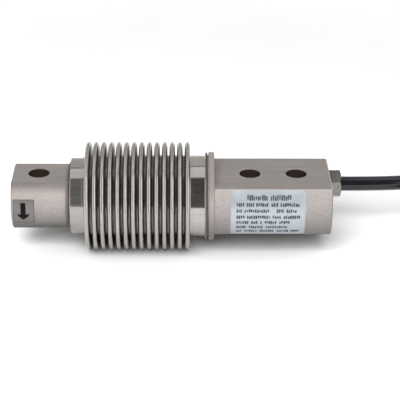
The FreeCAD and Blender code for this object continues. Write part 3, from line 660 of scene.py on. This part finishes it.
# %% Ring on the load side and ring with its lip on the mount side
LOAD_RING_BORE = 13.02
LOAD_RING_CHAMFER = 0.7
LOAD_RING_RADIUS = 14.85
MOUNT_RING_BORE = 14.52
SEAT_RADIUS = 15.5
MOUNT_RING_RADIUS = 15.8
LIP_RADIUS = 16.9
RING_AROUND = 256
load_ring = rounded_outline([
    (COLLAR_START - LOAD_RING_CHAMFER, LOAD_RING_BORE),
    (COLLAR_START, LOAD_RING_BORE + LOAD_RING_CHAMFER),
    (COLLAR_START, LOAD_RING_RADIUS),
    (BELLOWS_START, LOAD_RING_RADIUS),
    (BELLOWS_START, LOAD_RING_BORE),
], [0.1, 0.1, 0.25, 0.05, 0.05])
mount_ring = rounded_outline([
    (BELLOWS_END, MOUNT_RING_BORE),
    (BELLOWS_END, SEAT_RADIUS),
    (BELLOWS_END + CUFF, SEAT_RADIUS),
    (BELLOWS_END + CUFF, MOUNT_RING_RADIUS),
    (LIP_START, MOUNT_RING_RADIUS),
    (LIP_START, LIP_RADIUS),
    (LIP_END, LIP_RADIUS),
    (LIP_END, MOUNT_RING_BORE),
], [0.05, 0.05, 0.05, 0.02, 0.25, 0.25, 0.25, 0.05])
for name, outline in (("load_side_collar", load_ring), ("mount_side_collar", mount_ring)):
    points = turned_points(outline, RING_AROUND)
    skin = grid_mesh(name + "_skin", points, close_rows=True, close_columns=True)
    add_piece(name + "_skin", skin, polished, sharp=50, replaced=[name])
    print(name, "faces", len(skin.polygons))

# %% [markdown]
# ## The labels
# The rating label is a pale foil with round corners, bent round the block; the arrow label on the
# head is grey foil and shows which way the load acts. The rating label is generic, with rows of
# plain marks. Marks and arrow are thin skins of ink that follow the foil. An image texture could
# carry them, but ink as a surface of its own has crisp edges at any distance. Foil and ink share one
# helper, because each is a noise that drives colour, roughness and height together.

# %% A finish from one noise


def noise_finish(name, dark, light, rough, scale=900.0, detail=4.0, metallic=0.0, specular=0.5, depth=0.0):
    """One noise drives the colour from dark to light, the roughness over the pair rough, and the
    height, where depth in metres isn't zero."""
    material, tree, shader = new_finish(name)
    pattern = object_pattern(tree, scale, detail)
    colour = tinted(tree, pattern, dark, light)
    coat(tree, shader, colour, spread(tree, pattern, *rough), metallic, specular)
    if depth > 0.0:
        bumped(tree, shader, pattern, depth)
    return material


print("noise finish ready")

# %% Foil and ink
foil = noise_finish("label_foil", dark=(0.556, 0.61, 0.664), light=(0.626, 0.68, 0.733),
                    rough=(0.32, 0.42), scale=220.0, metallic=0.4, depth=0.000004)
grey_foil = noise_finish("arrow_foil", dark=(0.215, 0.198, 0.190), light=(0.265, 0.248, 0.240),
                         rough=(0.36, 0.46), scale=(3000.0, 300.0, 300.0), metallic=0.5, depth=0.000003)
ink = noise_finish("label_ink", dark=(0.003, 0.003, 0.004), light=(0.009, 0.009, 0.011),
                   rough=(0.4, 0.55), scale=1500.0, detail=3.0, specular=0.1)
grey_ink = noise_finish("label_grey_ink", dark=(0.045, 0.047, 0.055), light=(0.11, 0.115, 0.13),
                        rough=(0.4, 0.55), scale=1500.0, detail=3.0)
dress(nodes["rating_label"], foil)
dress(nodes["load_arrow_label"], grey_foil)
print("labels dressed")

# %% Ink as patches on a cylinder
PATCH_ROWS = 3


def ink_points(patches, radius, columns):
    """Four-sided patches on a cylinder, from their corners a, b, c, d as (station, angle in degrees).
    A patch's points are blended by (1-s)(1-t) a + s(1-t) b + s t c + (1-s) t d and laid on the radius."""
    a, b, c, d = np.moveaxis(np.asarray(patches, float), 1, 0)[:, :, None, None, :]
    s = np.linspace(0.0, 1.0, columns)[None, None, :, None]
    t = np.linspace(0.0, 1.0, PATCH_ROWS)[None, :, None, None]
    flat = (1 - s) * (1 - t) * a + s * (1 - t) * b + s * t * c + (1 - s) * t * d
    angle = np.radians(flat[..., 1])
    return at(np.stack([flat[..., 0], -radius * np.cos(angle), radius * np.sin(angle)], axis=-1))


def ink_piece(name, patches, radius, material, columns=14):
    """Several patches as one mesh; each keeps its own points, so patches that meet only touch."""
    first_point = np.arange(len(patches)) * PATCH_ROWS * columns
    faces = grid_faces(PATCH_ROWS, columns) + first_point[:, None, None]
    mesh = mesh_of(name, ink_points(patches, radius, columns), faces)
    return add_piece(name, mesh, material)


def frame_strips(left, right, low, high, width, radius):
    """Four thin strips along the edges of a rectangle (station, angle)."""
    lift = math.degrees(width / radius)
    return [
        [(left + width, low), (left + width, high), (left, high), (left, low)],
        [(right, low), (right, high), (right - width, high), (right - width, low)],
        [(right, low), (right, low + lift), (left, low + lift), (left, low)],
        [(right, high - lift), (right, high), (left, high), (left, high - lift)],
    ]


print("ink helpers ready")

# %% The arrow and its frame line
HEAD_RADIUS = 13.0
FOIL_THICKNESS = 0.1
INK_CLEARANCE = 0.02
ARROW_RADIUS = HEAD_RADIUS + FOIL_THICKNESS + INK_CLEARANCE
ARROW_MIDDLE = -5.4
SHAFT_HALF_WIDTH = 0.97
SHAFT_TOP = 12.9
BARB = (2.4, -7.2)
BARB_FOOT = (1.9, -12.2)
HEAD_TOP = -9.0
TIP = -20.0
FRAME_WIDTH = 0.14
arrow = np.array([
    [(-SHAFT_HALF_WIDTH, SHAFT_TOP), (-SHAFT_HALF_WIDTH, HEAD_TOP), (SHAFT_HALF_WIDTH, HEAD_TOP),
     (SHAFT_HALF_WIDTH, SHAFT_TOP)],
    [(-BARB[0], BARB[1]), (-BARB_FOOT[0], BARB_FOOT[1]), (0.0, TIP), (0.0, HEAD_TOP)],
    [(0.0, HEAD_TOP), (0.0, TIP), BARB_FOOT, BARB],
])
ink_piece("load_arrow", arrow + (ARROW_MIDDLE, 0.0), ARROW_RADIUS, ink)
strips = frame_strips(left=-9.2, right=-1.2, low=-26.7, high=18.4, width=FRAME_WIDTH, radius=ARROW_RADIUS)
ink_piece("arrow_frame", strips, ARROW_RADIUS, grey_ink, columns=24)
print("arrow made of", len(arrow), "patches")

# %% Rows of plain marks on the rating label
BLOCK_RADIUS = 17.0
LABEL_RADIUS = BLOCK_RADIUS + FOIL_THICKNESS + INK_CLEARANCE
LABEL_LEFT = 74.2
MARK_PITCH = 0.82
MARK_WIDTHS = (0.60, 0.86)
FOOT_CUTS = [0.0, 0.0, 0.18]
HEAD_CUTS = [0.0, 0.0, 0.22]
# A row is its angle, its height in degrees, and where its groups start and end in millimetres
rows = [
    (23.2, 7.2, [(6.2, 14.2), (15.2, 23.2)]),
    (14.0, 4.9, [(2.2, 5.2), (6.0, 9.0), (9.6, 14.4), (15.4, 18.2), (18.9, 26.3)]),
    (5.8, 4.9, [(2.2, 4.4), (5.2, 14.8), (17.5, 20.4), (21.2, 25.2)]),
    (-2.8, 4.9, [(2.2, 5.4), (6.2, 15.2), (16.0, 19.4), (20.2, 26.8)]),
    (-10.8, 4.6, [(2.2, 7.0), (7.8, 10.4), (11.3, 12.2), (13.0, 17.6), (18.6, 22.8)]),
    (-18.6, 4.6, [(2.2, 6.0), (7.0, 12.6), (13.6, 21.8)]),
    (-26.0, 4.2, [(2.2, 4.6), (5.4, 10.4), (11.2, 16.6), (18.0, 22.4), (23.2, 26.6)]),
]
seeded = np.random.default_rng(7)
marks = []
for angle, tall, spans in rows:
    for start, end in spans:
        count = max(1, round((end - start) / MARK_PITCH))
        edges = np.linspace(start, end, count + 1)
        width = (edges[1] - edges[0]) * seeded.uniform(*MARK_WIDTHS, count)
        low = angle - tall / 2 + tall * seeded.choice(FOOT_CUTS, count)
        high = angle + tall / 2 - tall * seeded.choice(HEAD_CUTS, count)
        left = LABEL_LEFT + edges[:-1]
        right = left + width
        corners = np.stack([left, high, left, low, right, low, right, high], axis=-1)
        marks.append(corners.reshape(-1, 4, 2))
marks = np.concatenate(marks)
ink_piece("rating_rows", marks, LABEL_RADIUS, grey_ink, columns=5)
print("marks", len(marks))

# %% [markdown]
# ## Gland, seals and the parts inside
# The gland is nickel-plated, so it is a shade darker and yellower than the steel and shows small
# dull spots. The parts behind the bellows never show in a photograph, but a finish belongs to every
# piece: someone may take the bellows off and look. Each could have a node tree of its own, but the
# one noise finish with other values does for all of them.

# %% Gland and small parts
plated = noise_finish("plated_gland", dark=(0.155, 0.145, 0.133), light=(0.29, 0.278, 0.26),
                      rough=(0.08, 0.15), scale=1500.0, detail=5.0, metallic=0.95,
                      depth=0.00001)
dress(nodes["gland_body"], plated)
FINE_DEPTH = 0.000006
ROUGHNESS_RANGE = 0.06


def simple_finish(name, dark, light, roughness, metallic=0.0, **settings):
    """A finish whose roughness varies by ROUGHNESS_RANGE to both sides of one value."""
    rough = (roughness - ROUGHNESS_RANGE, roughness + ROUGHNESS_RANGE)
    return noise_finish(name, dark, light, rough, metallic=metallic, **{"depth": FINE_DEPTH, **settings})


small_finishes = {
    "washer_brass": ((0.58, 0.42, 0.16), (0.70, 0.53, 0.24), 0.3, 1.0),
    "seal_rubber": ((0.015, 0.015, 0.016), (0.035, 0.035, 0.036), 0.7),
    "sleeve_black": ((0.012, 0.012, 0.013), (0.03, 0.03, 0.032), 0.5),
    "gauge_film": ((0.62, 0.33, 0.08), (0.75, 0.45, 0.14), 0.35),
    "board_laminate": ((0.03, 0.14, 0.06), (0.05, 0.21, 0.09), 0.4),
    "resistor_body": ((0.02, 0.02, 0.022), (0.05, 0.05, 0.055), 0.45),
    "tinned_wire": ((0.60, 0.59, 0.57), (0.74, 0.73, 0.71), 0.3, 1.0),
    "core_red": ((0.42, 0.02, 0.02), (0.55, 0.04, 0.035), 0.4),
    "core_black": ((0.014, 0.014, 0.015), (0.03, 0.03, 0.032), 0.4),
    "core_green": ((0.02, 0.24, 0.07), (0.04, 0.33, 0.11), 0.4),
    "core_white": ((0.66, 0.65, 0.62), (0.78, 0.77, 0.74), 0.4),
}
made = {name: simple_finish(name, *values) for name, values in small_finishes.items()}
print("small finishes", len(made))

# %% Which small part wears which finish
wears = {
    "gland_washer": "washer_brass", "gland_seal": "seal_rubber", "gland_o_ring": "seal_rubber",
    "cable_end_sleeve": "sleeve_black", "terminal_board": "board_laminate",
    "zero_trim_resistor": "resistor_body", "span_trim_resistor": "resistor_body",
    "gauge_lead_wires": "tinned_wire", "end_drain_wire": "tinned_wire",
    "strain_gauge_upper_load": "gauge_film", "strain_gauge_lower_load": "gauge_film",
    "strain_gauge_upper_mount": "gauge_film", "strain_gauge_lower_mount": "gauge_film",
}
wears.update({f"{where}_core_{colour}": f"core_{colour}"
              for where in ("inner", "end") for colour in ("red", "black", "green", "white")})
for name, finish in wears.items():
    dress(nodes[name], made[finish])
inner_jacket = simple_finish("cable_jacket_inside", (0.010, 0.010, 0.011), (0.022, 0.022, 0.024), 0.4)
dress(nodes["cable_inner_end"], inner_jacket)
print("dressed", len(wears) + 1, "small pieces")

# %% [markdown]
# ## Ties round the coil
# Two soft straps hold the loops together. A strap is a flat band that follows the bundle's outline
# with round corners; its outline is worked out once and carried along its width. Cloth draped round
# the coil would wrinkle more, but a strap pulled tight lies flat, and the outline gives just that.

# %% Two straps
STRAP_WIDTH = 6.0
STRAP_PLACE = 18.0
COIL_LANES = 3
COIL_LEVELS = 5
STRAP_ROUNDS = [2.5, 2.5, 2.0, 2.0, 2.5]
OUTWARD = np.array([(-1.0, 0.0), (1.0, 0.0), (1.0, 0.4), (0.4, 1.0), (-1.0, 1.0)])
strap_finish = simple_finish("coil_strap", (0.02, 0.02, 0.022), (0.05, 0.05, 0.054), 0.8,
                             scale=2500.0, depth=0.00004)


def strap(name, station):
    """A band round the bundle on the far straight. The outside is the bundle's outline (y, z) with
    rounded corners, the inside lies nearer to its middle by the thickness, and both are carried over
    the strap's width as one closed ring."""
    low = INNER_LANE - CABLE_DIAMETER / 2
    high = INNER_LANE + (COIL_LANES - 0.5) * CABLE_DIAMETER
    base = -AXIS_HEIGHT
    top = base + TIE_THICKNESS + COIL_LEVELS * CABLE_DIAMETER
    corners = np.array([
        (low, base),
        (high, base),
        (high, top - CABLE_DIAMETER),
        (high - CABLE_DIAMETER, top),
        (low, top),
    ])
    middle = corners.mean(axis=0)
    outside = rounded_outline(corners + OUTWARD * TIE_THICKNESS, STRAP_ROUNDS)
    reach = np.linalg.norm(outside - middle, axis=1)[:, None]
    inside = middle + (outside - middle) * (1.0 - TIE_THICKNESS / reach)
    lines = np.stack([outside, outside, inside, inside])
    offsets = np.array([-1.0, 1.0, 1.0, -1.0])[:, None] * STRAP_WIDTH / 2
    x = np.broadcast_to(station + offsets, lines.shape[:2])
    points = np.stack([x, COIL_Y + lines[..., 0], lines[..., 1]], axis=-1)
    mesh = grid_mesh(name, at(points), close_rows=True, close_columns=True)
    return add_piece(name, mesh, strap_finish, sharp=40)


strap("coil_strap_left", COIL_X - STRAP_PLACE)
strap("coil_strap_right", COIL_X + STRAP_PLACE)
print("straps at", COIL_X - STRAP_PLACE, "and", COIL_X + STRAP_PLACE, "mm")

# %% [markdown]
# ## Faces outwards
# A grid turned round an axis can come out with its faces inwards. For a closed mesh the sum of
# (a x b) . c over its triangles is six times its volume, and it is negative when the faces look
# inwards, so each closed piece is measured and turned over where needed. Blender can recalculate
# normals too, but on a thin shell that may turn the inner wall round.

# %% Measure and turn over


def enclosed_volume(mesh):
    """The sum of (a x b) . c / 6 over the triangles, with a, b, c counted from the mesh's middle."""
    mesh.calc_loop_triangles()
    points = np.empty(3 * len(mesh.vertices), np.float32)
    mesh.vertices.foreach_get("co", points)
    triangles = np.empty(3 * len(mesh.loop_triangles), np.int32)
    mesh.loop_triangles.foreach_get("vertices", triangles)
    corners = points.reshape(-1, 3)[triangles].reshape(-1, 3, 3).astype(float)
    a, b, c = np.moveaxis(corners - corners.mean(axis=(0, 1)), 1, 0)
    return (np.cross(a, b) * c).sum() / 6.0


closed_pieces = ("bellows_skin", "load_side_collar_skin", "mount_side_collar_skin", "coil_strap_left",
                 "coil_strap_right")
for name in closed_pieces:
    mesh = bpy.data.objects[name].data
    volume = enclosed_volume(mesh)
    if volume < 0:
        mesh.flip_normals()
    print(name, "volume", round(abs(volume) / MM ** 3, 1), "mm3", "turned over" if volume < 0 else "")

# %% [markdown]
# ## The table
# The cell lies on a white table that fades into a white room. Camera, mirror and glass rays see the
# table bright, while light that bounces off it is weaker, so that it doesn't flood the steel from
# below. Close to the cell the table keeps its shadow: ambient occlusion tells how open a place is,
# and only open places are lifted to white. A white backdrop sheet would do too, but it would need
# more light than the steel can take.

# %% White table
SHADE_REACH = 0.04
SHADE = (0.62, 0.62, 0.62)
BOUNCED = (0.24, 0.24, 0.24)
NEAR_LIFT = 0.35
FAR_LIFT = 0.7
TABLE_REACH = 8.0


def seen_rays(tree):
    """1 for camera, mirror and glass rays, and 0 for the others."""
    rays = node(tree, "LightPath").outputs
    seen = maths(tree, "MAXIMUM", rays["Is Camera Ray"], rays["Is Glossy Ray"])
    return maths(tree, "MAXIMUM", seen, rays["Is Transmission Ray"])


table_finish, tree, shader = new_finish("table_white")
shader.inputs["Roughness"].default_value = 0.9
shader.inputs["Specular IOR Level"].default_value = 0.0
shader.inputs["Emission Color"].default_value = (1.0, 1.0, 1.0, 1.0)
seen = seen_rays(tree)
mottle = object_pattern(tree, 30.0, detail=2.0)
white = tinted(tree, mottle, dark=(0.84, 0.84, 0.84), light=(0.86, 0.86, 0.86))
openness = node(tree, "AmbientOcclusion", {"Distance": SHADE_REACH}, samples=12).outputs["AO"]
# Closed-in places also get the darker colour SHADE: painted shade, beside the lamps' own shadow
shaded = blended(tree, ramped(tree, openness, 0.16, 0.42), SHADE, white)
tree.links.new(blended(tree, seen, BOUNCED, shaded), shader.inputs["Base Color"])
where = node(tree, "TexCoord").outputs["Object"]
from_middle = node(tree, "VectorMath", {0: where}, operation="LENGTH").outputs["Value"]
near_lift = maths(tree, "MULTIPLY", ramped(tree, openness, 0.46, 0.76), NEAR_LIFT)
far_lift = maths(tree, "MULTIPLY", ramped(tree, from_middle, 0.22, 0.6), FAR_LIFT)
lift = maths(tree, "MULTIPLY", seen, maths(tree, "ADD", near_lift, far_lift))
tree.links.new(lift, shader.inputs["Emission Strength"])

sides = [-TABLE_REACH, TABLE_REACH]
x, y = np.meshgrid(sides, sides, indexing="ij")
table_mesh = grid_mesh("table_top", np.stack([x, y, np.zeros_like(x)], axis=-1))
table_mesh.flip_normals()
table = bpy.data.objects.new("table_top", table_mesh)
scene.collection.objects.link(table)
dress(table, table_finish)
print("table normal", [round(part, 1) for part in table_mesh.polygons[0].normal])

# %% [markdown]
# ## The screen that the metal mirrors
# Polished metal shows the room more than itself. The weld rings mirror a dark room in front of the
# table, the soft light overhead and a dimmer backdrop behind, and the flanks of the waves mirror
# what stands far to the left and right. A curved screen round the table carries those zones and the
# bright wings at its sides. It is seen by mirror rays alone, so it shapes the metal and throws no
# light of its own. Real lamps and flags would give the same bands, but their edges are hard to place.

# %% Levels of the screen, by angle from the front and by place along the cell
SCREEN_RADIUS = 1.6
SCREEN_HALF_LENGTH = 6.0
BELLOWS_PLACE = -0.0155
ZONES = [
    (0.0, 0.11), (24.5, 0.11), (25.5, 0.18), (28.0, 0.18), (29.0, 0.11), (70.0, 0.11), (77.5, 0.12),
    (79.0, 1.14), (114.0, 1.17), (116.0, 0.33), (119.0, 0.33), (120.5, 0.8), (180.0, 0.67),
]
SIDE_LEVELS = [
    (-6.0, 1.0), (0.08, 1.0), (0.15, 0.1), (0.235, 0.1), (0.26, 1.0), (1.5, 1.0), (1.9, 0.1), (6.0, 0.08),
]
WING_LEVELS = [
    (-6.0, 0.12), (-3.5, 0.2), (-2.5, 0.5), (-0.42, 0.5), (-0.33, 0.18), (-0.1, 0.07), (0.02, 0.03),
    (0.68, 0.03), (0.78, 1.0), (1.9, 1.0), (2.3, 0.03), (6.0, 0.03),
]
WING_STRENGTH = 3.2
WING_TOP = 79.0
WING_FULL = 75.0
HALF_TURN = 180.0
WARM_LIGHT = (1.0, 0.985, 0.965, 1.0)


def levels_along(tree, value, levels, start, end):
    """Straight runs from level to level, listed by place, over a value that goes from start to end."""
    share = node(tree, "MapRange", {"Value": value, "From Min": start, "From Max": end})
    ramp = node(tree, "ValToRGB", {"Fac": share.outputs["Result"]})
    elements = ramp.color_ramp.elements
    for place, level in levels[1:-1]:
        elements.new((place - start) / (end - start)).color = (level, level, level, 1.0)
    elements[0].color = (levels[0][1],) * 3 + (1.0,)
    elements[-1].color = (levels[-1][1],) * 3 + (1.0,)
    return ramp.outputs["Color"]


print("zones", len(ZONES), "side levels", len(SIDE_LEVELS), "wing levels", len(WING_LEVELS))

# %% Screen finish
screen_finish = bpy.data.materials.new("studio_screen")
tree, surface = empty_tree(screen_finish, "Material")
where = node(tree, "SeparateXYZ", {0: node(tree, "TexCoord").outputs["Object"]}).outputs
height = maths(tree, "SUBTRACT", where["Z"], AXIS_HEIGHT * MM)
front = maths(tree, "MULTIPLY", where["Y"], -1.0)
half_turns = maths(tree, "DIVIDE", maths(tree, "ARCTAN2", height, front), math.pi)
from_bellows = maths(tree, "SUBTRACT", where["X"], BELLOWS_PLACE)
slope = maths(tree, "DIVIDE", from_bellows, from_axis(tree, height, front))
sideways = maths(tree, "MULTIPLY", slope, SCREEN_RADIUS)
zone = levels_along(tree, half_turns, [(angle / HALF_TURN, level) for angle, level in ZONES], 0.0, 1.0)
side = levels_along(tree, sideways, SIDE_LEVELS, -SCREEN_HALF_LENGTH, SCREEN_HALF_LENGTH)
wing = levels_along(tree, sideways, WING_LEVELS, -SCREEN_HALF_LENGTH, SCREEN_HALF_LENGTH)
below_top = ramped(tree, half_turns, WING_TOP / HALF_TURN, WING_FULL / HALF_TURN)
wing_light = maths(tree, "MULTIPLY", wing, maths(tree, "MULTIPLY", below_top, WING_STRENGTH))
brightness = maths(tree, "MAXIMUM", maths(tree, "MULTIPLY", zone, side), wing_light)
glow = node(tree, "Emission", {"Color": WARM_LIGHT, "Strength": brightness})
tree.links.new(glow.outputs[0], surface)
print("finish", screen_finish.name)

# %% Curved screen
ARC_POINTS = 120
FLAT_POINTS = 12
FLAT_START = -0.15
FLAT_LIFT = 0.0006
SCREEN_COLUMNS = 9


def screen_points():
    """A sheet bent round the cell's axis: near the table it lies flat in front of the cell, then it
    rises as an arc of the screen's radius over the top and down behind."""
    angle = np.radians(np.linspace(0.5, HALF_TURN - 0.5, ARC_POINTS))
    arc = np.stack([-SCREEN_RADIUS * np.cos(angle), SCREEN_RADIUS * np.sin(angle)], axis=-1)
    flat_y = np.linspace(FLAT_START, -SCREEN_RADIUS, FLAT_POINTS)
    flat = np.stack([flat_y, np.full(FLAT_POINTS, FLAT_LIFT)], axis=-1)
    profile = np.concatenate([flat, arc])[:, None]
    x = np.linspace(-SCREEN_HALF_LENGTH, SCREEN_HALF_LENGTH, SCREEN_COLUMNS)
    return np.stack(np.broadcast_arrays(x, profile[..., 0], profile[..., 1]), axis=-1)


screen = bpy.data.objects.new("studio_screen", grid_mesh("studio_screen", screen_points()))
scene.collection.objects.link(screen)
dress(screen, screen_finish)
screen.visible_camera = False
screen.visible_diffuse = False
screen.visible_shadow = False
screen.visible_transmission = False
print("screen faces", len(screen.data.polygons))

# %% [markdown]
# ## Lamps and room
# Soft light comes from above and in front. The cell and the table have a lamp each, so the table can
# be white while the steel keeps its tone, and a weak lamp behind opens the far side. Mirror rays
# don't see the lamps, because the screen stands for them. The room is plain white to the camera and
# gives a little even light. One lamp for all would be simpler, but it whitens table and steel alike.

# %% Lamps


def soft_lamp(name, place, target, width, depth, watts, lit=None, unlit=None):
    """A rectangular lamp turned to its target. It lights the lit object alone, or all but the unlit."""
    data = bpy.data.lights.new(name, "AREA")
    data.shape = "RECTANGLE"
    data.size = width
    data.size_y = depth
    data.energy = watts
    lamp = bpy.data.objects.new(name, data)
    lamp.location = place
    lamp.rotation_euler = (Vector(target) - Vector(place)).to_track_quat("-Z", "Y").to_euler()
    lamp.visible_camera = False
    lamp.visible_glossy = False
    scene.collection.objects.link(lamp)
    for piece, state in ((lit, "INCLUDE"), (unlit, "EXCLUDE")):
        if piece is not None:
            group = bpy.data.collections.new(name + "_linked")
            group.objects.link(piece)
            group.collection_objects[0].light_linking.link_state = state
            lamp.light_linking.receiver_collection = group


soft_lamp("front_softbox", place=(-0.04, -0.6, 0.88), target=(0.0, 0.0, 0.021), width=0.9, depth=0.5,
          watts=12.5, unlit=table)
soft_lamp("table_softbox", place=(-0.15, -0.76, 0.7), target=(0.0, 0.0, 0.0), width=0.9, depth=0.6,
          watts=18.2, lit=table)
soft_lamp("back_fill", place=(0.25, 0.9, 0.25), target=(0.0, 0.0, 0.02), width=0.8, depth=0.4,
          watts=3.2, unlit=table)
print("lamps", len(bpy.data.lights))

# %% Room
ROOM_LIGHT = 0.12
world = bpy.data.worlds.new("studio_room")
scene.world = world
tree, surface = empty_tree(world, "World")
level = node(tree, "MapRange", {"Value": seen_rays(tree), "To Min": ROOM_LIGHT, "To Max": 1.0})
paper = node(tree, "Background", {"Color": (1.0, 1.0, 1.0, 1.0), "Strength": level.outputs[0]})
tree.links.new(paper.outputs[0], surface)
print("studio ready")
